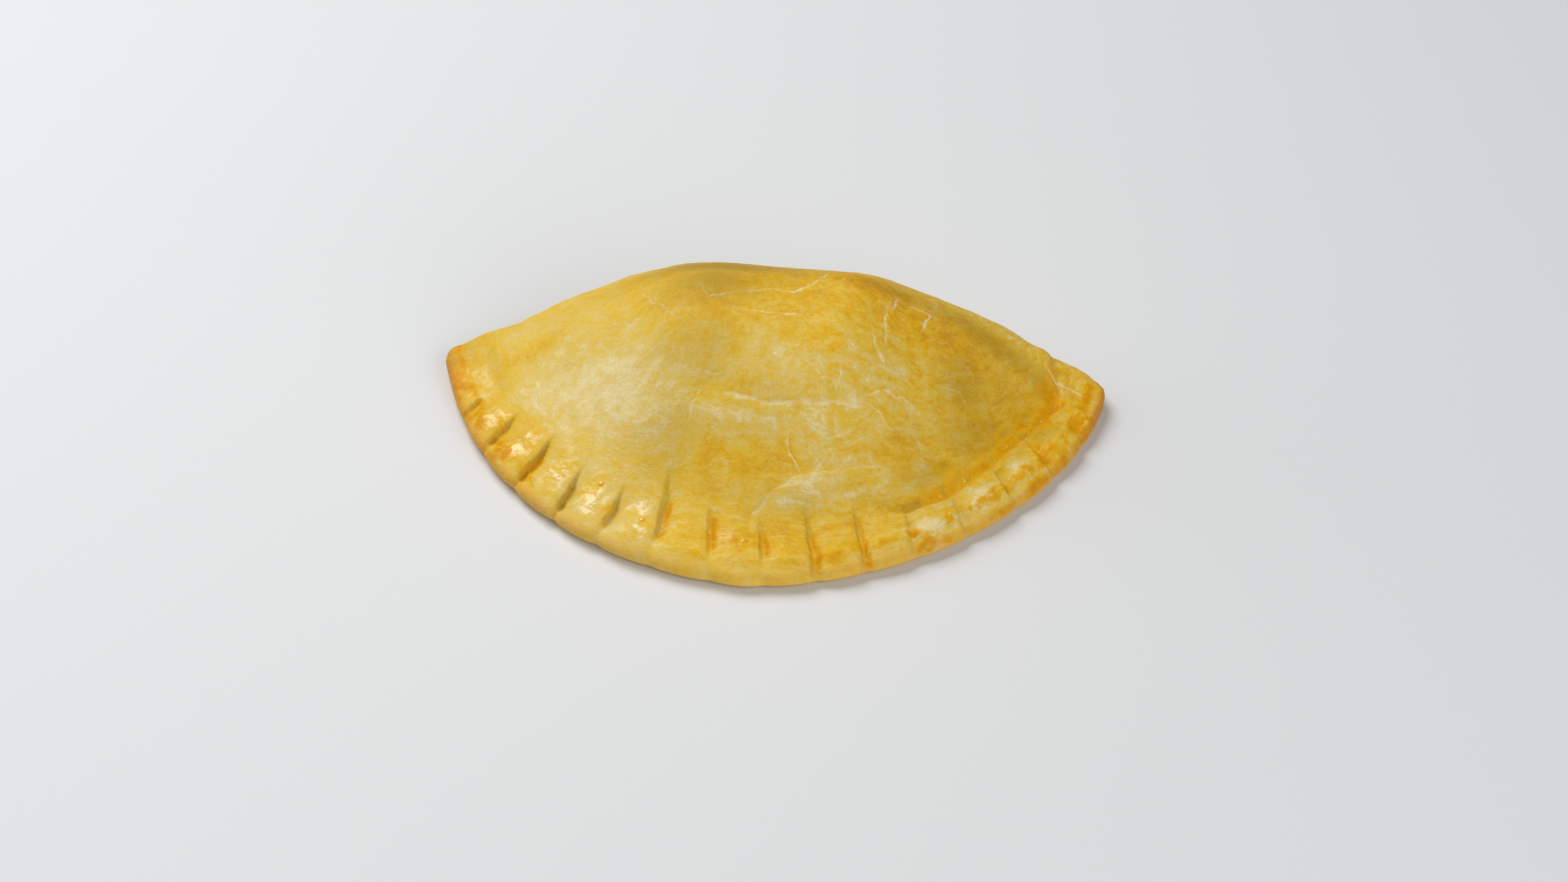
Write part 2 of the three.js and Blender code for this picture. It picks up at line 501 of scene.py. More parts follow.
@dataclass
class Pastry:
    """The folded and crimped pastry, from its smoothed form to the marks on its skin.

    A span in millimetres says where something begins and is complete, in from the rim unless it is
    noted otherwise.
    """

    # How the solid becomes a fine, smooth mesh. The rounds are rounds of averaging, which leave the
    # lip of the edge and the base alone. The last span is one of heights.
    merge_distance: float = 0.001
    voxel: float = 0.42
    triangles: int = 190000
    rounding_levels: int = 2
    base_skin: float = 0.03
    first_rounds: int = 2
    band_rounds: int = 70
    band_smooth: Span = (2.5, 5.5)
    dome_rounds: int = 130
    dome_smooth: Span = (13, 18)
    above_base: Span = (2, 4)

    # How steep the skin may be, as the height of its normal, where relief and where marks come in.
    facing_up: Span = (-0.1, 0.4)
    facing_side: Span = (-0.25, 0.25)

    # How uneven the dough is, and how the press's marks sway and the pools vary.
    dome_rise: Span = (9, 24)
    swelling: Grain = Grain(0.35, 19, 3.1)
    unevenness: tuple[Grain, ...] = (Grain(0.13, 7, 7.7), Grain(0.05, 2.2, 1.3))
    sway: tuple[Grain, ...] = (Grain(0.45, 6, 51), Grain(0.2, 2, 53))
    raggedness: Grain = Grain(0.8, 3.5, 31, 3)

    # The raised band of pads round the edge, and the valley between it and the dome in front.
    pad_height: Around = Around((0, 20, 60, 90, 120, 160, 180), (0.6, 0.9, 1.0, 0.9, 1.1, 1.2, 0.8))
    pad_slope: Around = Around((0, 60, 105, 125), (8, 8, 6, 2.4))
    pad_border: Around = Around((0, 45, 55, 70, 80, 95, 180), (0.9, 0.8, 0.6, 0.6, 0.9, 1.0, 1.0))
    pad_outer: Span = (1.8, 4.6)
    pad_inner: float = 11.6
    valley: Around = Around((75, 90, 110, 122), (0, 1, 1, 0))
    valley_depth: float = 0.45
    valley_in: float = 16.5
    valley_width: float = 2.6

    # The marks of the press, from the left tip to the right one.
    crimps: tuple[Crimp, ...] = (
        Crimp((-71.6, -20.7), (-66.5, -17.0), 0.9, 0.4, 7),
        Crimp((-65.1, -32.0), (-58.2, -24.3), 1.3, 0.8, 8),
        Crimp((-56.6, -43.6), (-48.8, -34.3), 1.6, 1.1, 9),
        Crimp((-46.2, -53.4), (-41.1, -44.3), 1.5, 0.3, 9),
        Crimp((-34.6, -59.6), (-31.0, -50.5), 1.5, 0.3, 9),
        Crimp((-22.3, -63.2), (-20.0, -48.5), 1.3, 0.8, 7),
        Crimp((-9.5, -67.0), (-10.3, -55.5), 1.0, 1.2, 5, 0.9),
        Crimp((2.5, -68.6), (1.2, -57.4), 1.1, 1.1, 5, 0.9),
        Crimp((14.8, -71.0), (11.2, -54.5), 1.2, 0.9, 5, 1.0),
        Crimp((25.6, -66.5), (22.0, -52.2), 1.1, 0.9, 5, 1.0),
        Crimp((36.8, -61.5), (33.8, -51.0), 0.95, 0.3, 5, 1.5),
        Crimp((49.4, -54.5), (44.0, -45.6), 1.0, 0.15, 6, 1.6),
        Crimp((60.4, -43.0), (53.2, -35.5), 1.0, 0.1, 6, 1.6),
        Crimp((68.6, -31.4), (60.2, -23.8), 1.0, 0.3, 6, 1.6),
        Crimp((75.4, -20.6), (70.2, -14.4), 0.9, 0.4, 6, 1.1),
    )

    # The cracks of the baked skin, and how their edges lift.
    cracks: tuple[Trace, ...] = (
        Trace(((-17, -9), (-15, -13), (-13, -15)), 0.6, 0.6),
        Trace(((-13, -15), (-8, -12.5), (1, -11), (6, -11), (10, -8), (13, -2)), 0.8, 1.0),
        Trace(((-30, -8), (-27, -12), (-26, -13)), 0.5, 0.8),
        Trace(((-8, -18), (-2, -19), (4, -19.3), (8, -19)), 0.7, 0.8),
        Trace(((4, -19), (6, -17), (9, -17)), 0.4, 0.5),
        Trace(((30, -4), (28, -9)), 0.9, 1.0),
        Trace(((27, -9), (26.5, -12), (27.5, -19)), 1.0, 1.0),
        Trace(((25, -20), (25.3, -22), (27.5, -25)), 0.9, 1.0),
        Trace(((30, -4), (32, -5.5), (37, -5), (36, -10)), 0.8, 0.9),
        Trace(((37, -5), (39, 1)), 0.6, 0.6),
        Trace(((18, -29), (18, -31), (17, -34)), 0.7, 0.9),
        Trace(((-8, -37.2), (1, -38.3), (7, -38), (14, -37), (24, -34.6)), 1.3, 0.85),
        Trace(((-12, -39), (-5, -41)), 0.6, 0.5),
        Trace(((22, -35), (25, -34), (29, -36.5)), 0.8, 0.8),
        Trace(((25, -32), (29, -30), (32, -29.3), (36, -30.5)), 0.6, 0.8),
        Trace(((29, -36.5), (33, -35), (37, -36.5)), 0.8, 0.7),
        Trace(((33, -33), (36, -36), (38, -40)), 0.6, 0.6),
        Trace(((10, -30), (14, -32.5), (20, -33)), 0.6, 0.5),
        Trace(((45, -10), (45, -13), (48, -15.5)), 0.5, 0.7),
        Trace(((41, -22), (45, -21), (47, -23)), 0.6, 0.6),
        Trace(((-25, -14), (-22.5, -17), (-20, -20)), 0.7, 0.8),
        Trace(((-36, -13), (-32, -16), (-30, -15)), 0.8, 0.5),
        Trace(((-14, -32), (-10, -33)), 0.6, 0.6),
        Trace(((-14, -36), (-15, -38), (-16, -41)), 0.6, 0.7),
        Trace(((7, -44.5), (7, -46.5), (10, -49)), 0.6, 0.7),
        Trace(((10, -41), (16, -42.5), (22, -41)), 0.6, 0.5),
        Trace(((0, -57), (2, -55), (5, -52.4), (8, -50.6), (12, -48.7)), 0.8, 0.8),
        Trace(((12, -48.7), (19, -47.2), (28, -43.8)), 0.7, 0.5),
        Trace(((66, -2), (71, -4.8), (78.2, -7.8)), 0.8, 2.6),
    )

    crack_wander_x: tuple[Grain, ...] = (Grain(0.7, 5, 11), Grain(0.3, 1.4, 21))
    crack_wander_y: tuple[Grain, ...] = (Grain(0.7, 5, 18), Grain(0.3, 1.4, 28))
    crack_fading: Grain = Grain(1.0, 4, 41, 3)
    crack_fade: Span = (0.1, 0.75)
    crack_open: Strength = Strength(0.25, 0.75)
    crack_reach: Span = (2.4, 1.2)
    crack_depth: float = 0.16
    crack_width: float = 0.4
    edge_lift: float = 0.1
    edge_away: float = 0.8
    edge_width: float = 0.45

    # The crease over the front of the dome, the folds at the two ends, and the front pads' fold.
    creases: tuple[Trace, ...] = (
        Trace(((-12, -35), (-3, -38), (8, -38.5), (20, -36), (32, -32)), 2.4, 0.45),
        Trace(((-67, 6), (-69, -2), (-67, -9), (-63, -17)), 1.8, 0.3),
        Trace(((67, 6), (67.5, -2), (66.5, -8)), 1.5, 0.7),
    )
    fold: Trace = Trace(
        ((0, -58), (2, -56), (5, -53), (8, -51), (12, -49), (19, -47.5), (28, -44)), 0.9, 0.3
    )
    fold_aside: float = 0.6

    # The toe: where the filling's foot meets the pads on the right. Its starts are places along the
    # pie, and its sides are widths towards the filling and towards the rim.
    toe: Trace = Trace(
        (
            (26, -54.5),
            (35, -51.6),
            (44, -45.4),
            (53, -35.4),
            (59.5, -24.5),
            (63.5, -18.5),
            (67.5, -12),
            (68, -6),
        ),
        depth=1.1,
    )
    toe_wall: float = 1.4
    toe_ramp: float = 4.5
    toe_start: Span = (26, 40)
    toe_wash: float = 1.2
    toe_wash_sides: Span = (2.6, 0.5)
    toe_wash_start: Span = (24, 38)
    # Painted shade in the toe's crease.
    toe_shade: float = 0.42
    toe_amber_sides: Span = (3.8, 0.6)
    toe_amber_start: Span = (30, 44)
    toe_amber_full: Span = (46, 58)
    toe_amber: Strength = Strength(0.8, 0.2)
    toe_ragged: Strength = Strength(0.3, 1.0)

    # Where the filling lifts the dough, or lets it sink.
    lumps: tuple[Patch, ...] = (
        Patch(22, -5, 10, 6, 0.6),
        Patch(21, -25, 10, 8, 1.3),
        Patch(-14, -12, 9, 6, 0.3),
        Patch(45, -17, 9, 5, 0.5, -25),
        Patch(-43, -26, 14, 9, 0.4, -20),
        Patch(2, -46, 12, 4, -0.5),
        Patch(-9, -24, 8, 12, -0.8),
        Patch(11, -52, 8, 2.4, 0.4, 25),
    )

    # Where more egg was brushed on, or less, where the strength is negative.
    # Some of the paler patches are painted highlight, on the hump and the left of the dome.
    golden: tuple[Patch, ...] = (
        Patch(0, -6, 34, 14, 0.2),
        Patch(-14, -16, 8, 5, 0.15),
        Patch(21, -4, 9, 4, 0.3),
        Patch(28, -14, 8, 7, 0.1),
        Patch(13, -26, 5, 4, 0.1, -40),
        Patch(22, -26, 6, 5, 0.1, 20),
        Patch(45, -9, 13, 6, 0.3, -20),
        Patch(50, -30, 12, 6, 0.22, 50),
        Patch(40, -40, 9, 4, 0.08, 38),
        Patch(30, -40, 9, 3, 0.2, 25),
        Patch(2, -49, 9, 2.5, 0.4, 4),
        Patch(-12, -47, 6, 2.5, 0.2),
        Patch(-59, -9, 9, 5, 0.15, 15),
        Patch(-46, -9, 9, 5, -0.1, 10),
        Patch(-68, -22, 4, 6, 0.2, -50),
        # Partly painted sheen, partly the dough's paler colour, on the left of the dome.
        Patch(-40, -25, 18, 10, -0.38, -22),
        Patch(-30, -37, 14, 8, -0.22, -15),
        Patch(-56, -8.5, 8, 3, 0.35, 12),
        Patch(-4, -41, 14, 3, -0.2),
        Patch(0, -30, 12, 6, -0.12),
        Patch(13, -51, 10, 2.6, -0.35, 22),
        Patch(8, -62, 4, 4, 0.2),
        Patch(44, -14, 32, 20, 0.2),
        Patch(21, -3, 10, 3.5, 0.25),
        Patch(14, -14, 8, 12, 0.1),
        Patch(-56, -7, 13, 7, -0.22),
        Patch(-66, -12, 6, 9, -0.15),
        Patch(-4, -37, 8, 3, 0.1),
        Patch(1, -62, 14, 4, 0.2),
        Patch(-12, -60, 6, 5, 0.1),
        Patch(26, -57, 6, 5, 0.15),
        Patch(40, -55.5, 4.5, 3, -0.5, 28),
        Patch(51.5, -45, 4.5, 3, -0.5, 45),
        Patch(60, -34, 4.5, 3, -0.45, 52),
        # Painted highlight on the lit front of the hump.
        Patch(15, -5, 6, 6, -0.25),
        Patch(25, -25, 14, 8, -0.22),
        Patch(-56, -32, 6, 4, 0.15, -45),
        Patch(-55, -22, 7, 6, -0.2),
        # Painted highlight on the lit lower front of the hump.
        Patch(14, -39, 12, 8, -0.14),
    )

    # Where the egg set glossy.
    glossy: tuple[Patch, ...] = (
        Patch(-26.5, -57, 3.4, 7, 1.2, 8),
        Patch(-37.5, -53.5, 3.2, 6, 1.1, -12),
        Patch(-47.5, -46.5, 3.2, 6, 1.2, -30),
        Patch(-57, -35, 3.2, 6, 1.2, -45),
        Patch(-64, -25, 3, 5, 0.9, -55),
        Patch(-73, -11, 2.5, 4, 0.5, -70),
        Patch(-4, -63, 5, 2.5, 0.3),
        Patch(-44, -26, 17, 9, 0.25, -25),
        Patch(68, -12, 6, 8, 0.4, -20),
    )

    # Painted shade: the crust is darkened where shade falls, on the crest and the shaded slopes.
    shaded: tuple[Patch, ...] = (
        Patch(-13, -0.3, 21, 4.2, 0.72),
        Patch(-76, -5, 4, 8, 0.4),
        Patch(50, -3, 18, 4, 0.55, -12),
        Patch(31, -2, 7, 3, 0.42),
        Patch(49, -29, 11, 8, 0.4, 48),
        Patch(39, -43, 9, 6, 0.36, 38),
        Patch(46, -20, 7, 9, 0.45),
        Patch(56, -15, 5, 8, 0.25),
        Patch(-14, -9, 12, 9, 0.55),
        Patch(-15, -26, 11, 11, 0.33),
        Patch(-21, -42, 10, 6, 0.3),
        Patch(-4, -38, 10, 6, 0.12),
        Patch(12, -56, 12, 2.5, 0.22, 8),
        Patch(28, -51, 7, 2.5, 0.3, 18),
        Patch(36, -36, 7, 6, 0.15),
        Patch(64, -21, 5, 4, 0.45, 60),
    )

    # Where egg ran together in spots and browned.
    brown: tuple[Patch, ...] = (
        Patch(-75.5, -12, 5, 3, 1.8, -60),
        Patch(-68.5, -25.5, 4.5, 2, 1.7, -55),
        Patch(-60.5, -36.5, 4, 2, 1.7, -48),
        Patch(-51.5, -45.5, 3, 1.6, 0.8, -40),
        Patch(-62, -28, 3, 1.4, 0.8, -50),
        Patch(-40.5, -50, 1.6, 1.2, 0.8),
        Patch(-34, -55, 1.4, 1.2, 0.7),
        Patch(-5, -64.5, 4, 1.8, 0.75),
        Patch(9, -67.5, 4, 1.4, 0.7, 5),
        Patch(18, -66.5, 4, 1.6, 0.5, 10),
        Patch(29, -61, 4, 1.4, 0.5, 22),
        Patch(39, -58.7, 7, 1.6, 0.9, 20),
        Patch(56, -46.8, 4, 1.3, 0.8, 45),
        Patch(64, -37, 5, 1.6, 0.9, 56),
        Patch(65, -27.5, 5, 2.2, 1.3, -38),
        Patch(71, -25, 4, 2.2, 1.5, 58),
        Patch(75, -15, 5, 3.0, 1.8, 72),
        Patch(69, -11, 3, 2.6, 1.2, 70),
        Patch(65, -17, 5, 3, 1.1, 60),
    )

    # How the egg and the heat took to the rim. The tip and the side are places along the pie.
    usual_wash: float = 0.5
    band_wash: Around = Around(
        (0, 30, 50, 65, 80, 105, 118, 140, 160, 180),
        (0.15, 0.15, -0.1, -0.15, 0.05, 0.1, 0, 0, 0.1, 0.15),
    )
    band_fade: Span = (17, 11)
    rim_amber: Around = Around(
        (0, 10, 40, 50, 75, 82, 105, 118, 135, 180),
        (0.9, 1.0, 0.7, 0.1, 0.1, 0.5, 0.5, 0.7, 0.9, 1.0),
    )
    rim_amber_in: float = 4.0
    rim_amber_width: float = 1.6
    rim_amber_strength: float = 1.3
    pool_ragged: Strength = Strength(0.5, 0.9)
    spot_ragged: Strength = Strength(0.25, 1.1)
    # How the painted shade on the marks' walls varies from place to place.
    dent_shade_ragged: Strength = Strength(0.6, 0.7)
    tip_toast: float = 0.3
    toasted_tip: Span = (74, 80)
    edge_toast: float = 0.45
    toasted_edge: float = 1.5
    toasted_by: float = 60
    sheen: float = 0.3
    sheen_side: Span = (4, -34)
    sheen_inner: Span = (15, 8)
    sheen_outer: Span = (1.5, 4)
    lip_share: float = 0.6
    lip_fade: Span = (3.4, 1.6)

    def build(self, node: bpy.types.Object, plan: Plan) -> bpy.types.Object:
        """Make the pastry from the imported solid.

        Args:
            node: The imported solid.
            plan: The pie's plan.

        Returns:
            The finished pastry.
        """
        piece = self._smooth_copy(node)
        skin = Skin(piece, plan)
        skin.points = skin.blurred(skin.points, self.first_rounds)
        skin.measure()
        stages = (self.band_rounds, self.band_smooth), (self.dome_rounds, self.dome_smooth)
        for rounds, span in stages:
            share = smoothstep(skin.rim, *span) * smoothstep(skin.z, *self.above_base)
            skin.points += (skin.blurred(skin.points, rounds) - skin.points) * share[:, None]
        skin.write()
        skin.measure()
        sway = self._relief(skin)
        self._marks(skin, sway)
        self._lighten(piece)
        bpy.ops.object.shade_smooth()
        piece.data.materials.append(EggWashedShortcrust().material(plan))
        return piece

    def _smooth_copy(self, node: bpy.types.Object) -> bpy.types.Object:
        """Copy the solid, smooth its facets away and remesh it evenly.

        Args:
            node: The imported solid.

        Returns:
            The copy.
        """
        piece = bpy.data.objects.new("baked_pastry", node.data.copy())
        bpy.context.scene.collection.objects.link(piece)
        piece.data.materials.clear()
        activate(piece)
        bpy.ops.object.mode_set(mode="EDIT")
        bpy.ops.mesh.select_all(action="SELECT")
        bpy.ops.mesh.remove_doubles(threshold=self.merge_distance * MM)
        bpy.ops.mesh.tris_convert_to_quads(face_threshold=math.pi, shape_threshold=math.pi)
        bpy.ops.object.mode_set(mode="OBJECT")
        rounding = piece.modifiers.new("rounding", "SUBSURF")
        rounding.levels = self.rounding_levels
        rounding.render_levels = self.rounding_levels
        bpy.ops.object.modifier_apply(modifier=rounding.name)
        piece.data.remesh_voxel_size = self.voxel * MM
        piece.data.remesh_voxel_adaptivity = 0
        bpy.ops.object.voxel_remesh()
        self._plain_base(piece)
        return piece

    def _plain_base(self, piece: bpy.types.Object) -> None:
        """Make the flat base one face.

        Args:
            piece: The pastry.
        """
        activate(piece)
        bpy.ops.object.mode_set(mode="EDIT")
        bpy.ops.mesh.select_mode(type="FACE")
        bpy.ops.mesh.select_all(action="DESELECT")
        bpy.ops.object.mode_set(mode="OBJECT")
        mesh = piece.data
        low = np.array([v.co.z for v in mesh.vertices]) < self.base_skin * MM
        flat = [bool(np.all(low[list(face.vertices)])) for face in mesh.polygons]
        mesh.polygons.foreach_set("select", flat)
        bpy.ops.object.mode_set(mode="EDIT")
        bpy.ops.mesh.dissolve_faces()
        bpy.ops.object.mode_set(mode="OBJECT")

    def _lighten(self, piece: bpy.types.Object) -> None:
        """Merge triangles where the skin is plain, down to the number that the piece may have.

        Args:
            piece: The pastry.
        """
        activate(piece)
        count = sum(len(face.vertices) - 2 for face in piece.data.polygons)
        merging = piece.modifiers.new("merging", "DECIMATE")
        merging.ratio = min(1.0, self.triangles / count)
        bpy.ops.object.modifier_apply(modifier=merging.name)

    def _terrace(self, turn: Array, rim: Array) -> Array:
        """Shape the raised band of pads between the edge's lip and the foot of the filling.

        Args:
            turn: Degrees round the pie.
            rim: Distances from the rim.

        Returns:
            How far the band stands up.
        """
        border = self.pad_border.at(turn)
        outer = smoothstep(rim, *self.pad_outer) * border + (1 - border)
        inner = smoothstep(rim, self.pad_inner + self.pad_slope.at(turn), self.pad_inner)
        return self.pad_height.at(turn) * outer * inner

    def _relief(self, skin: Skin) -> Array:
        """Work the skin: the filling's lumps, the press, creases, folds and cracks.

        Args:
            skin: The pastry's skin.

        Returns:
            How far the press's marks sway to the side at each point.
        """
        x, y, rim = skin.x, skin.y, skin.rim
        turn = skin.plan.turn(x, y)
        up = smoothstep(skin.normals[:, 2], *self.facing_up)
        lift = self.swelling.over(skin.points) * smoothstep(rim, *self.dome_rise)
        for kind in self.unevenness:
            lift += kind.over(skin.points)
        for lump in self.lumps:
            lift += lump.over(x, y)
        lift += self._terrace(turn, rim)
        sway = sum(kind.over(skin.points) for kind in self.sway)
        for crimp in self.crimps:
            lift -= crimp.bite(x + sway, y)
        for crease in self.creases:
            lift -= crease.depth * bell(crease.away(x, y), crease.width)
        toe = self.toe.away(x, y)
        dip = np.where(toe < 0, smoothstep(toe, -self.toe_wall, 0.0), smoothstep(toe, self.toe_ramp, 0))
        lift -= self.toe.depth * dip * smoothstep(x, *self.toe_start)
        lift -= self.valley_depth * bell(rim - self.valley_in, self.valley_width) * self.valley.at(turn)
        lift -= self.fold.depth * bell(self.fold.away(x, y) - self.fold_aside, self.fold.width)
        skin.push(lift * up)
        skin.write()
        gap, flake = self._cracked(skin)
        lifted = self.edge_lift * bell(np.abs(gap) - self.edge_away, self.edge_width)
        skin.push((lifted - self.crack_depth * bell(gap, self.crack_width)) * flake * up)
        skin.write()
        return sway

    def _cracked(self, skin: Skin) -> tuple[Array, Array]:
        """Find the cracks of the baked skin, which wander and come and go.

        Args:
            skin: The pastry's skin.

        Returns:
            How far each point is from the nearest crack, signed by its side, and how open it is there.
        """
        x = skin.x + sum(kind.over(skin.points) for kind in self.crack_wander_x)
        y = skin.y + sum(kind.over(skin.points) for kind in self.crack_wander_y)
        gap = np.full(skin.count, BEYOND_ANY_CRACK)
        flake = np.zeros(skin.count)
        for crack in self.cracks:
            away = crack.away(x, y) / crack.width
            closer = np.abs(away) < np.abs(gap)
            gap = np.where(closer, away, gap)
            flake = np.where(closer, crack.depth, flake)
        fade = smoothstep(0.5 + self.crack_fading.over(skin.points), *self.crack_fade)
        shown = np.minimum(1, flake * self.crack_open.at(fade))
        return gap, shown * smoothstep(np.abs(gap), *self.crack_reach)

    def _marks(self, skin: Skin, sway: Array) -> None:
        """Store what the material needs to know about the skin.

        Args:
            skin: The pastry's skin.
            sway: How far the press's marks sway to the side at each point.
        """
        turn = skin.plan.turn(skin.x, skin.y)
        top = smoothstep(skin.normals[:, 2], *self.facing_side)
        ragged = np.clip(0.5 + self.raggedness.over(skin.points), 0, 1)
        toe = self.toe.away(skin.x, skin.y)
        self._mark_wash(skin, turn, toe)
        self._mark_amber(skin, turn, toe, ragged, sway, top)
        # Painted shade on the marks' steep walls.
        dent_shade = np.zeros(skin.count)
        for crimp in self.crimps:
            dark = crimp.shadowed(skin.x + sway, skin.y)
            dent_shade = np.maximum(dent_shade, dark * self.dent_shade_ragged.at(ragged))
        skin.keep(Mark.DENT_SHADE, dent_shade * top)
        tip = smoothstep(np.abs(skin.x), *self.toasted_tip)
        edge = self.edge_toast * bell(skin.rim, self.toasted_edge) * np.abs(skin.x) / self.toasted_by
        skin.keep(Mark.TOAST, np.clip(tip * self.tip_toast + edge, 0, 1))
        gap, flake = self._cracked(skin)
        skin.keep(Mark.CRACK, gap)
        skin.keep(Mark.FLAKE, flake)
        gloss = self.sheen * smoothstep(skin.x, *self.sheen_side)
        gloss *= smoothstep(skin.rim, *self.sheen_inner)
        gloss *= smoothstep(skin.rim, *self.sheen_outer)
        for patch in self.glossy:
            gloss = np.maximum(gloss, patch.over(skin.x, skin.y))
        skin.keep(Mark.GLOSS, np.clip(gloss, 0, 1) * top)
        lip = self.lip_share * smoothstep(skin.rim, *self.lip_fade) * self.pad_border.at(turn)
        skin.keep(Mark.LIP, np.maximum(lip, 1 - top))

    def _mark_wash(self, skin: Skin, turn: Array, toe: Array) -> None:
        """Store how thick the egg wash lies, and where shade is painted on the crust.

        Args:
            skin: The pastry's skin.
            turn: Degrees round the pie.
            toe: Distances from the foot of the filling on the right, positive towards the filling.
        """
        wash = np.full(skin.count, self.usual_wash)
        for patch in self.golden:
            wash += patch.over(skin.x, skin.y)
        wash += smoothstep(skin.rim, *self.band_fade) * self.band_wash.at(turn)
        foot = lopsided(toe, *self.toe_wash_sides) * smoothstep(skin.x, *self.toe_wash_start)
        skin.keep(Mark.WASH, wash + (self.toe_wash - wash) * foot)
        # Painted shade, in the toe's crease and in the patches.
        shade = self.toe_shade * foot
        for patch in self.shaded:
            shade = np.maximum(shade, patch.over(skin.x, skin.y))
        skin.keep(Mark.SHADE, shade)

    def _mark_amber(
        self, skin: Skin, turn: Array, toe: Array, ragged: Array, sway: Array, top: Array
    ) -> None:
        """Store where the egg wash pooled: in the marks, along the rim, at the toe and in spots.

        Args:
            skin: The pastry's skin.
            turn: Degrees round the pie.
            toe: Distances from the foot of the filling on the right, positive towards the filling.
            ragged: How the pools' strength varies from place to place.
            sway: How far the press's marks sway to the side at each point.
            top: How far each point faces upwards.
        """
        x, y = skin.x, skin.y
        amber = np.zeros(skin.count)
        for crimp in self.crimps:
            amber = np.maximum(amber, crimp.pooled(x + sway, y) * self.pool_ragged.at(ragged))
        along_rim = self.rim_amber.at(turn) * bell(skin.rim - self.rim_amber_in, self.rim_amber_width)
        amber = np.maximum(amber, along_rim * ragged * self.rim_amber_strength)
        along_toe = lopsided(toe, *self.toe_amber_sides) * smoothstep(x, *self.toe_amber_start)
        strength = self.toe_amber.at(smoothstep(x, *self.toe_amber_full))
        amber = np.maximum(amber, strength * along_toe * self.toe_ragged.at(ragged))
        for spot in self.brown:
            amber = np.maximum(amber, spot.over(x, y) * self.spot_ragged.at(ragged))
        skin.keep(Mark.AMBER, np.clip(amber, 0, 1) * top)


@dataclass(frozen=True)
class WashBeads:
    """Beads and blisters of egg wash that set on the pastry."""

    # Where each lies on the plan, and how far it spreads.
    places: tuple[tuple[float, float, float], ...] = (
        (42, -46, 0.6),
        (47.3, -40.6, 0.75),
        (46.2, -42.4, 0.45),
        (56.8, -27.6, 0.55),
        (60.4, -24.4, 0.5),
        (65, -16, 0.6),
        (64, -18.6, 0.4),
        (-25.4, -59, 0.75),
        (-36, -49, 0.9),
        (-9.6, -61.4, 0.6),
        (-6.6, -62.6, 0.5),
        (-1.6, -64.2, 0.9),
        (2.2, -63.4, 0.45),
        (-58.8, -28.2, 0.5),
        (-50.6, -38.4, 0.45),
    )
    flatness: float = 0.35
    narrowness: float = 0.9
    sink: float = 0.3
    segments: int = 16
    rings: int = 10
    start_height: float = 80

    def build(self, pastry: bpy.types.Object, plan: Plan) -> bpy.types.Object:
        """Set the beads on the pastry.

        Args:
            pastry: The finished pastry.
            plan: The pie's plan.

        Returns:
            All the beads as one piece.
        """
        bpy.context.view_layer.update()
        surface = bvhtree.BVHTree.FromObject(pastry, bpy.context.evaluated_depsgraph_get())
        beads = [self._bead(surface, plan, *place) for place in self.places]
        bpy.ops.object.select_all(action="DESELECT")
        for bead in beads:
            bead.select_set(True)
        bpy.context.view_layer.objects.active = beads[0]
        bpy.ops.object.join()
        piece = bpy.context.active_object
        piece.name = "egg_wash_beads"
        bpy.context.scene.cursor.location = (0, 0, 0)
        bpy.ops.object.origin_set(type="ORIGIN_CURSOR")
        bpy.ops.object.shade_smooth()
        piece.data.materials.append(SetEggWash().material())
        return piece

    def _bead(
        self, surface: bvhtree.BVHTree, plan: Plan, x: float, y: float, radius: float
    ) -> bpy.types.Object:
        """Set one bead.

        Args:
            surface: The pastry's surface.
            plan: The pie's plan.
            x: Its place along the pie.
            y: Its place from the tips' line.
            radius: How far it spreads.

        Returns:
            The bead.
        """
        above = Vector((x, y + plan.tips_y, self.start_height)) * MM
        place, normal, _, _ = surface.ray_cast(above, Vector((0, 0, -1)))
        bpy.ops.object.select_all(action="DESELECT")
        bpy.ops.mesh.primitive_uv_sphere_add(
            segments=self.segments, ring_count=self.rings, radius=radius * MM
        )
        bead = bpy.context.active_object
        bpy.ops.object.mode_set(mode="EDIT")
        bpy.ops.transform.resize(value=(1, self.narrowness, self.flatness))
        bpy.ops.transform.translate(value=(0, 0, -radius * self.flatness * self.sink * MM))
        bpy.ops.object.mode_set(mode="OBJECT")
        bead.rotation_mode = "QUATERNION"
        bead.rotation_quaternion = normal.to_track_quat("Z", "Y")
        bead.location = place
        bpy.ops.object.transform_apply(location=True, rotation=True, scale=True)
        return bead


def linear(colour: str) -> tuple[float, float, float, float]:
    """Turn an sRGB hex colour into the linear one that shaders take.

    Args:
        colour: Six hex digits after a hash sign.

    Returns:
        Red, green, blue and an alpha of 1.
    """
    parts = (int(colour[i : i + 2], 16) / 255 for i in (1, 3, 5))
    r, g, b = (p / 12.92 if p <= 0.04045 else ((p + 0.055) / 1.055) ** 2.4 for p in parts)
    return r, g, b, 1.0


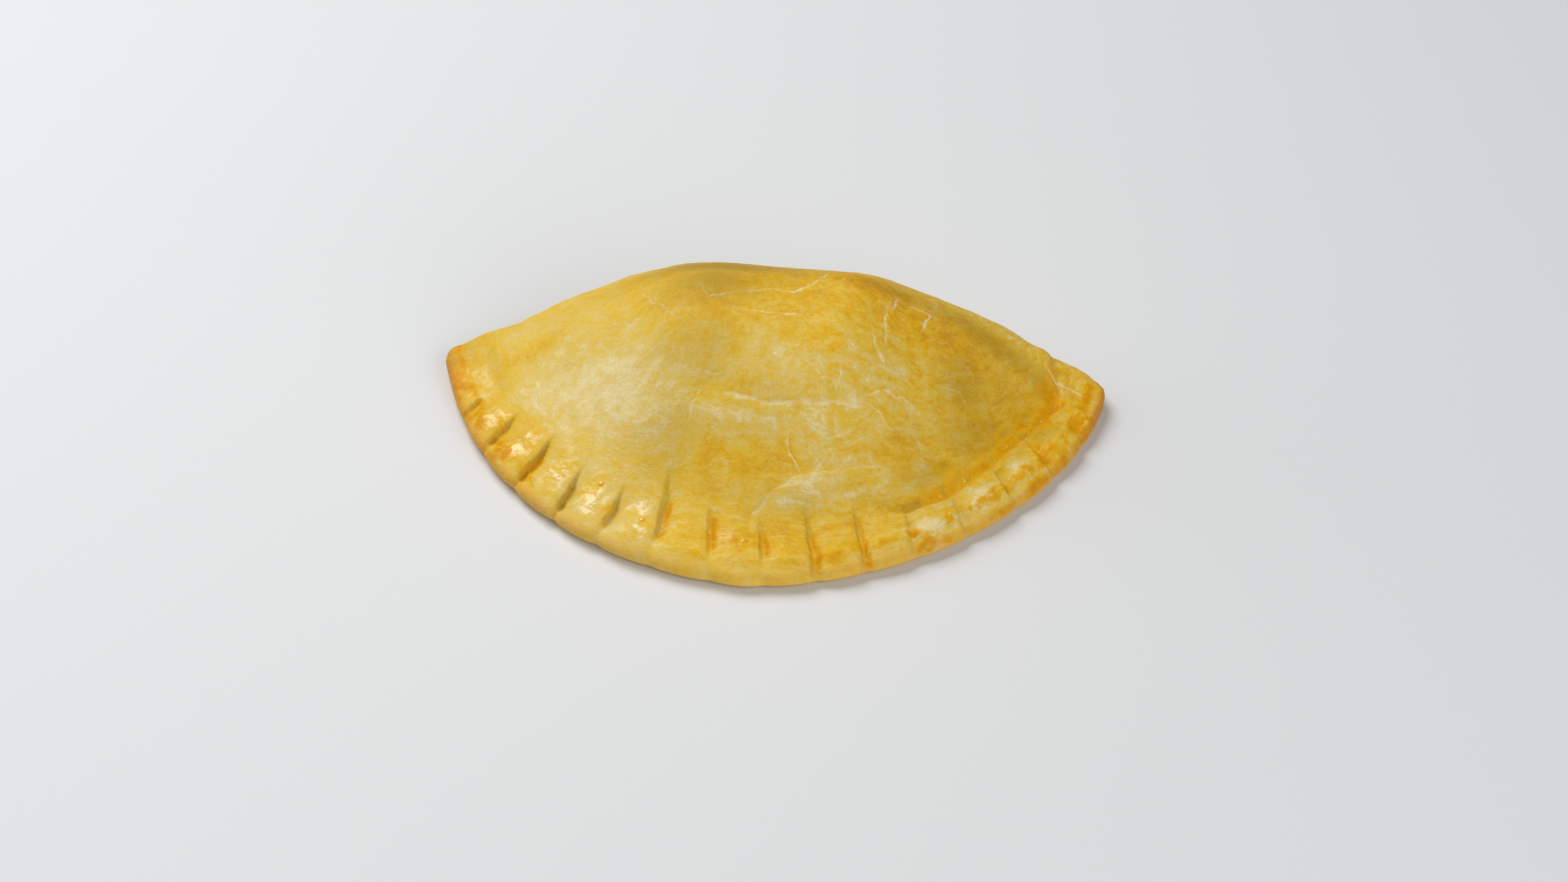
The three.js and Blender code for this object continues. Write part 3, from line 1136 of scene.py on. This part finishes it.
class Graph:
    """A material's node tree under construction."""

    def __init__(self, name: str) -> None:
        """Start a material with its shader.

        Args:
            name: The material's name.
        """
        self.material = bpy.data.materials.new(name)
        self.material.use_nodes = True
        self.tree = self.material.node_tree
        self.shader = self.tree.nodes["Principled BSDF"]

    def add(
        self,
        kind: str,
        *inputs: object,
        out: str | int = 0,
        named: dict[str | int, object] | None = None,
        **settings: object,
    ) -> Socket:
        """Add one node with its settings and links.

        Args:
            kind: The node's type, without its ShaderNode prefix.
            inputs: For each input in turn, a value, the output to link from, or None to skip it.
            out: Which output to hand on.
            named: Further inputs by name or number.
            settings: The node's own properties.

        Returns:
            The output asked for.
        """
        node = self.tree.nodes.new("ShaderNode" + kind)
        for name, value in settings.items():
            setattr(node, name, value)
        for key, value in [*enumerate(inputs), *(named or {}).items()]:
            if isinstance(value, Socket):
                self.tree.links.new(value, node.inputs[key])
            elif value is not None:
                node.inputs[key].default_value = value
        return node.outputs[out]

    def finish(self, links: dict[str, Socket], **constants: object) -> bpy.types.Material:
        """Wire the shader.

        Args:
            links: Outputs for the shader's inputs, by the inputs' names.
            constants: Values for its inputs, with underscores for spaces.

        Returns:
            The material.
        """
        for name, socket in links.items():
            self.tree.links.new(socket, self.shader.inputs[name])
        for name, value in constants.items():
            self.shader.inputs[name.replace("_", " ")].default_value = value
        return self.material


@dataclass(frozen=True)
class EggWashedShortcrust:
    """Shortcrust pastry brushed with beaten egg and baked.

    The baked dough gives the eye a matt, pale cream ground with fine fibres. The brushed egg gives
    golden strokes and mottles on it, amber where it ran together, and a soft gloss where it set thick.
    Darker olive tones are painted shade, and a few paler patches are painted highlight.
    """

    # From the bare dough to the thickest even coat of egg.
    tones: tuple[tuple[float, str], ...] = (
        (0.0, "#EBD79A"),
        (0.2, "#E5C66A"),
        (0.4, "#E6BE40"),
        (0.6, "#E4B122"),
        (0.8, "#DCA414"),
        (1.0, "#D0960C"),
    )
    thin_amber: str = "#E6B012"
    thick_amber: str = "#DC9604"
    # The olive tone of the painted shade.
    shaded: str = "#A08028"
    # The tone of the painted shade on the marks' walls.
    painted_dent_shade: str = "#B08E10"
    toasted: str = "#C87E18"
    flaked: str = "#F6ECC8"
    lip: str = "#F5CB66"
    speck: str = "#6E4A20"

    # Scales in millimetres. The brush left strokes some 6 long and 1 wide, with mottles between them,
    # and more or less egg every 7 or so. It went round the pie, on an arc about a place behind the
    # line between the tips, and wavered by up to 2.5 every 11 or so.
    stroke_mm: Span = (6, 1.1)
    mottle_mm: Span = (4, 2.6)
    load_mm: float = 7
    waver_mm: float = 11
    waver: float = 5
    arc_mm: float = 70
    arc_behind: float = 25
    # The dough's own grain is about 0.3. It is drawn at 0.8, as coarse as it needs to show.
    grain_mm: float = 0.8
    # The fibres are about 0.2 apart. They are drawn 0.45 apart and 2 long, so that they show.
    fibre_mm: Span = (2.0, 0.45)
    fibre_turns: Span = (-0.4, 0.3)
    fibre_patch_mm: float = 4
    # Flakes along a crack are about half a millimetre wide.
    fray_mm: Span = (1.3, 0.5)
    # Small dark specks lie several millimetres apart. They are drawn a little larger than they are.
    speck_mm: float = 4.5
    speck_size: float = 0.035
    # Set egg ripples softly as the brush left it, and both it and the dough are uneven by 0.3.
    ripple_mm: float = 1.7
    relief: float = 0.0003

    # How strongly each pattern varies the egg, what evens their sum out around zero, and how much less
    # the egg varies on the pale left side, over a span along the pie.
    load: float = 0.4
    grain: float = 0.6
    stroke: float = 1.3
    mottle: float = 1.5
    even: float = 1.9
    calm_side: Span = (-40, 25)
    calm: Span = (0.45, 1.0)
    coat: float = 0.8

    # How fibres, pads, marks and pools show.
    fibre_line: float = 0.06
    fibre_patches: Span = (0.4, 0.62)
    fibre_share: Span = (0.25, 1.0)
    fibre_thins: float = -0.13
    fibre_pale: float = 0.11
    lip_cover: float = 0.6
    # How strongly the painted shade on the marks' walls shows.
    dent_shade_cover: float = 0.6
    pool_mottle: Span = (0.36, 0.6)
    pool_share: Span = (0.1, 1.3)
    thin_pool: Span = (0.12, 0.45)
    thick_pool: Span = (0.35, 0.9)
    pool_cover: float = 0.9
    crack_edge: Span = (0.95, 0.55)
    crack_cover: float = 0.65
    speck_rarity: Span = (0.55, 1.0)
    gloss_mottle: Span = (0.53, 0.47)
    gloss_share: Span = (0.06, 1.0)
    pooled_gloss: float = 0.1

    def material(self, plan: Plan) -> bpy.types.Material:
        """Build the finish.

        Args:
            plan: The pie's plan, which the brush followed round.

        Returns:
            The material.
        """
        g = Graph("egg_washed_shortcrust")
        mm = g.add("VectorMath", g.add("TexCoord", out="Object"), (1 / MM,) * 3, operation="MULTIPLY")
        marks = {mark: g.add("Attribute", attribute_name=mark.value, out="Fac") for mark in Mark}
        bent = self._brushed(g, mm, plan)
        place = g.add("VectorMath", bent, self._per(self.mottle_mm), operation="MULTIPLY")
        mottle = g.add("TexNoise", place, named={"Scale": 1, "Detail": 7, "Roughness": 0.68})
        place = g.add("VectorMath", bent, self._per(self.fray_mm), operation="MULTIPLY")
        ragged = g.add("TexNoise", place, named={"Scale": 1, "Detail": 3})
        hair = self._hair(g, mm, bent)
        pools = g.add("MapRange", mottle, *self.pool_mottle, *self.pool_share)
        amber = g.add("Math", marks[Mark.AMBER], pools, operation="MULTIPLY")
        thin = g.add("MapRange", amber, *self.thin_pool, 0.0, self.pool_cover)
        thick = g.add("MapRange", amber, *self.thick_pool, 0.0, self.pool_cover)
        colour = self._baked(g, self._wash(g, mm, bent, mottle, hair, marks[Mark.WASH]))
        for share, tone in (
            (g.add("Math", hair, self.fibre_pale, operation="MULTIPLY"), self.flaked),
            (self._crack(g, ragged, marks), self.flaked),
            (g.add("Math", marks[Mark.LIP], self.lip_cover, operation="MULTIPLY"), self.lip),
            # Painted shade where shade falls on the crust.
            (marks[Mark.SHADE], self.shaded),
            # Painted shade on the marks' steep walls.
            (g.add("Math", marks[Mark.DENT_SHADE], self.dent_shade_cover, operation="MULTIPLY"), self.painted_dent_shade),
            (thin, self.thin_amber),
            (thick, self.thick_amber),
            (marks[Mark.TOAST], self.toasted),
            (self._specks(g, mm), self.speck),
        ):
            colour = g.add("Mix", out=2, data_type="RGBA", named={0: share, 6: colour, 7: linear(tone)})
        height = g.add("Math", hair, 0.3, ragged, operation="MULTIPLY_ADD")
        bump = g.add("Bump", 0.5, self.relief, named={"Height": height})
        ripple = g.add("TexNoise", mm, named={"Scale": 1 / self.ripple_mm, "Detail": 1.5})
        glaze = g.add("Bump", 1.0, self.relief, named={"Height": ripple})
        gloss = self._gloss(g, mottle, thin, thick, marks[Mark.GLOSS])
        return g.finish(
            {"Base Color": colour, "Normal": bump, "Coat Normal": glaze, "Coat Weight": gloss},
            Roughness=0.5,
            IOR=1.45,
            Specular_IOR_Level=0.1,
            Coat_Roughness=0.28,
            Coat_IOR=1.65,
            Subsurface_Weight=0.06,
            Subsurface_Radius=(0.0015, 0.0009, 0.0004),
            Subsurface_Scale=1.0,
        )

    def _per(self, size: Span) -> tuple[float, float, float]:
        """Turn a pattern's length and width into how often it repeats along and across the strokes."""
        return 1 / size[0], 1 / size[1], 1

    def _brushed(self, g: Graph, mm: Socket, plan: Plan) -> Socket:
        """Find places along and across the brush's strokes, which bend round the pie and waver.

        Args:
            g: The material's graph.
            mm: Places in millimetres.
            plan: The pie's plan.

        Returns:
            The places, in millimetres.
        """
        centre = g.add("VectorMath", mm, (0, -plan.tips_y - self.arc_behind, 0), operation="ADD")
        x = g.add("SeparateXYZ", centre)
        y, z = x.node.outputs[1], x.node.outputs[2]
        turn = g.add("Math", x, g.add("Math", y, -1.0, operation="MULTIPLY"), operation="ARCTAN2")
        arc = g.add("Math", turn, self.arc_mm, operation="MULTIPLY")
        reach = g.add("VectorMath", g.add("CombineXYZ", x, y, z), operation="LENGTH", out=1)
        straight = g.add("CombineXYZ", arc, reach, 0.0)
        warp = g.add("TexNoise", mm, named={"Scale": 1 / self.waver_mm, "Detail": 2}, out="Color")
        warp = g.add("VectorMath", warp, (0.5, 0.5, 0.5), operation="SUBTRACT")
        return g.add("VectorMath", warp, (self.waver,) * 3, straight, operation="MULTIPLY_ADD")

    def _wash(
        self, g: Graph, mm: Socket, bent: Socket, mottle: Socket, hair: Socket, laid: Socket
    ) -> Socket:
        """Work out how thick the egg wash lies, with the strokes and mottles that the brush left.

        Args:
            g: The material's graph.
            mm: Places in millimetres.
            bent: Places along the brush's strokes.
            mottle: The mottles between the strokes.
            hair: Where the fibres are, which hold less of it.
            laid: How thick it lies on the whole.

        Returns:
            The thickness, from 0 to 1.
        """
        place = g.add("VectorMath", bent, self._per(self.stroke_mm), operation="MULTIPLY")
        stroke = g.add("TexNoise", place, named={"Scale": 1, "Detail": 5, "Roughness": 0.6})
        load = g.add("TexNoise", mm, named={"Scale": 1 / self.load_mm, "Detail": 3})
        grain = g.add("TexNoise", mm, named={"Scale": 1 / self.grain_mm, "Detail": 3})
        uneven = g.add("Math", load, self.load, operation="MULTIPLY")
        for pattern, strength in ((grain, self.grain), (stroke, self.stroke), (mottle, self.mottle)):
            uneven = g.add("Math", pattern, strength, uneven, operation="MULTIPLY_ADD")
        uneven = g.add("Math", uneven, self.even, operation="SUBTRACT")
        side = g.add("MapRange", g.add("SeparateXYZ", mm), *self.calm_side, *self.calm)
        wash = g.add("Math", uneven, side, laid, operation="MULTIPLY_ADD")
        wash = g.add("Math", hair, self.fibre_thins, wash, operation="MULTIPLY_ADD")
        return g.add("Math", wash, self.coat, operation="MULTIPLY")

    def _baked(self, g: Graph, wash: Socket) -> Socket:
        """Turn the wash's thickness into the colour that it baked to.

        Args:
            g: The material's graph.
            wash: The thickness.

        Returns:
            The colour.
        """
        ramp = g.add("ValToRGB", wash)
        stops = ramp.node.color_ramp.elements
        for stop, (position, tone) in ((stops[0], self.tones[0]), (stops[1], self.tones[-1])):
            stop.position = position
            stop.color = linear(tone)
        for position, tone in self.tones[1:-1]:
            stops.new(position).color = linear(tone)
        return ramp

    def _hair(self, g: Graph, mm: Socket, bent: Socket) -> Socket:
        """Draw the fine curled fibres of the baked skin, patchy over the pie.

        Args:
            g: The material's graph.
            mm: Places in millimetres.
            bent: Places along the brush's strokes.

        Returns:
            Where the fibres are.
        """
        lines = []
        for turned in self.fibre_turns:
            place = g.add("VectorRotate", bent, out="Vector", named={"Angle": turned})
            place = g.add("VectorMath", place, self._per(self.fibre_mm), operation="MULTIPLY")
            line = g.add("TexNoise", place, named={"Scale": 1, "Detail": 1, "Distortion": 0.4})
            line = g.add("Math", g.add("Math", line, 0.5, operation="SUBTRACT"), operation="ABSOLUTE")
            lines.append(g.add("MapRange", line, self.fibre_line, 0.0, 0.0, 1.0))
        fibres = g.add("Math", *lines, operation="MAXIMUM")
        where = g.add("TexNoise", mm, named={"Scale": 1 / self.fibre_patch_mm, "Detail": 2})
        where = g.add("MapRange", where, *self.fibre_patches, *self.fibre_share)
        return g.add("Math", fibres, where, operation="MULTIPLY")

    def _crack(self, g: Graph, ragged: Socket, marks: dict[Mark, Socket]) -> Socket:
        """Draw the cracks' pale flaky edges, frayed by a fine noise.

        Args:
            g: The material's graph.
            ragged: The fine noise.
            marks: The marks on the pastry's skin.

        Returns:
            How much of the flaky layer shows.
        """
        gap = g.add("Math", marks[Mark.CRACK], operation="ABSOLUTE")
        gap = g.add("Math", ragged, 1.0, gap, operation="MULTIPLY_ADD")
        edge = g.add("MapRange", gap, *self.crack_edge, 0.0, self.crack_cover)
        return g.add("Math", edge, marks[Mark.FLAKE], operation="MULTIPLY")

    def _specks(self, g: Graph, mm: Socket) -> Socket:
        """Scatter small dark specks, most of them too small to see.

        Args:
            g: The material's graph.
            mm: Places in millimetres.

        Returns:
            Where the specks are.
        """
        cell = g.add("TexVoronoi", mm, named={"Scale": 1 / self.speck_mm})
        size = g.add("SeparateColor", cell.node.outputs["Color"])
        size = g.add("MapRange", size, *self.speck_rarity, 0.0, self.speck_size)
        return g.add("Math", cell, size, operation="LESS_THAN")

    def _gloss(self, g: Graph, mottle: Socket, thin: Socket, thick: Socket, glossy: Socket) -> Socket:
        """Work out where the egg wash set glossy: in broken patches, and a little where it pooled thin.

        Args:
            g: The material's graph.
            mottle: The mottles, which break up the patches.
            thin: Where thin amber lies.
            thick: Where thick amber lies, which baked dull.
            glossy: Where the glossy patches are.

        Returns:
            How glossy the wash is.
        """
        shiny = g.add("MapRange", mottle, *self.gloss_mottle, *self.gloss_share)
        gloss = g.add("Math", glossy, shiny, operation="MULTIPLY")
        bare = g.add("Math", 1.0, thick, operation="SUBTRACT")
        gloss = g.add("Math", gloss, bare, operation="MULTIPLY")
        pooled = g.add("Math", thin, self.pooled_gloss, operation="MULTIPLY")
        return g.add("Math", gloss, pooled, operation="MAXIMUM")


@dataclass(frozen=True)
class SetEggWash:
    """Egg wash that ran into beads and baked: it gives the eye amber drops, as smooth as glass."""

    colour: str = "#E8AC14"

    def material(self) -> bpy.types.Material:
        """Build the finish."""
        g = Graph("baked_egg_wash")
        return g.finish({}, Base_Color=linear(self.colour), Roughness=0.12, IOR=1.45, Coat_Weight=0.5)


@dataclass(frozen=True)
class MattBoard:
    """Painted board under the pie: it gives the eye an even, pale, matt ground."""

    colour: str = "#E2E3E4"

    def material(self) -> bpy.types.Material:
        """Build the finish."""
        g = Graph("pale_matt_board")
        return g.finish({}, Base_Color=linear(self.colour), Roughness=0.6)


@dataclass(frozen=True)
class Lamp:
    """A square soft light that shines at the pie, in metres and watts."""

    name: str
    place: tuple[float, float, float]
    size: float
    watts: float

    def hang(self) -> None:
        """Hang the light."""
        data = bpy.data.lights.new(self.name, "AREA")
        data.size = self.size
        data.energy = self.watts
        lamp = bpy.data.objects.new(self.name, data)
        lamp.location = self.place
        lamp.rotation_mode = "QUATERNION"
        lamp.rotation_quaternion = (-Vector(self.place)).to_track_quat("-Z", "Y")
        bpy.context.scene.collection.objects.link(lamp)


@dataclass
class Studio:
    """The plain floor, the soft light and the camera.

    The floor's size is in metres, and the camera's lengths are in millimetres.
    """

    lens: float = 76.8
    sensor_width: float = 36
    distance: float = 792.8
    azimuth: float = 4.17
    elevation: float = 41.2
    aim: Span = (4.15, -20.87)
    floor_size: float = 6
    room_colour: str = "#F4F6F8"
    room_light: float = 0.1
    lamps: tuple[Lamp, ...] = (
        Lamp("window", (-0.5, 0.5, 0.95), 0.75, 10.4),
        Lamp("fill", (0.8, -0.8, 0.7), 1.0, 9.6),
        Lamp("low_fill", (0, -1.2, 0.4), 1.0, 1.2),
        Lamp("side_fill", (-1.15, 0.1, 0.45), 0.8, 3.2),
    )

    def build(self, plan: Plan) -> None:
        """Set everything up around the pie.

        Args:
            plan: The pie's plan.
        """
        self._floor()
        for lamp in self.lamps:
            lamp.hang()
        self._room()
        self._camera(plan)

    def _floor(self) -> None:
        """Lay the pale floor."""
        bpy.ops.object.select_all(action="DESELECT")
        bpy.ops.mesh.primitive_plane_add(size=self.floor_size)
        floor = bpy.context.active_object
        floor.name = "floor"
        floor.data.materials.append(MattBoard().material())

    def _room(self) -> None:
        """Give the room its weak light from all sides."""
        world = bpy.data.worlds.new("room")
        world.use_nodes = True
        sky = world.node_tree.nodes["Background"]
        sky.inputs["Color"].default_value = linear(self.room_colour)
        sky.inputs["Strength"].default_value = self.room_light
        bpy.context.scene.world = world

    def _camera(self, plan: Plan) -> None:
        """Place the camera.

        Args:
            plan: The pie's plan.
        """
        data = bpy.data.cameras.new("camera")
        data.lens = self.lens
        data.sensor_width = self.sensor_width
        camera = bpy.data.objects.new("camera", data)
        bpy.context.scene.collection.objects.link(camera)
        azimuth, elevation = math.radians(self.azimuth), math.radians(self.elevation)
        level = math.cos(elevation)
        back = Vector((math.sin(azimuth) * level, -math.cos(azimuth) * level, math.sin(elevation)))
        aim = Vector((self.aim[0], self.aim[1] + plan.tips_y, 0)) * MM
        camera.location = aim + back * self.distance * MM
        camera.rotation_mode = "QUATERNION"
        camera.rotation_quaternion = (-back).to_track_quat("-Z", "Y")
        bpy.context.scene.camera = camera
        bpy.context.scene.view_settings.view_transform = "Standard"


def report(piece: bpy.types.Object) -> None:
    """Say how large a piece's mesh is.

    Args:
        piece: The piece.
    """
    triangles = sum(len(face.vertices) - 2 for face in piece.data.polygons)
    LOG.info("%s: %d points, %d triangles", piece.name, len(piece.data.vertices), triangles)


def main() -> None:
    """Build the pie and its studio, and report each piece."""
    logging.basicConfig(level=logging.INFO, format="%(name)s: %(message)s")
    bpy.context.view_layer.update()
    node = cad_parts[NODE]
    plan = Plan(node)
    pastry = Pastry().build(node, plan)
    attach(pastry, BODY)
    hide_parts(NODE)
    report(pastry)
    beads = WashBeads().build(pastry, plan)
    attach(beads, BODY)
    report(beads)
    Studio().build(plan)


if __name__ == "__main__":
    main()
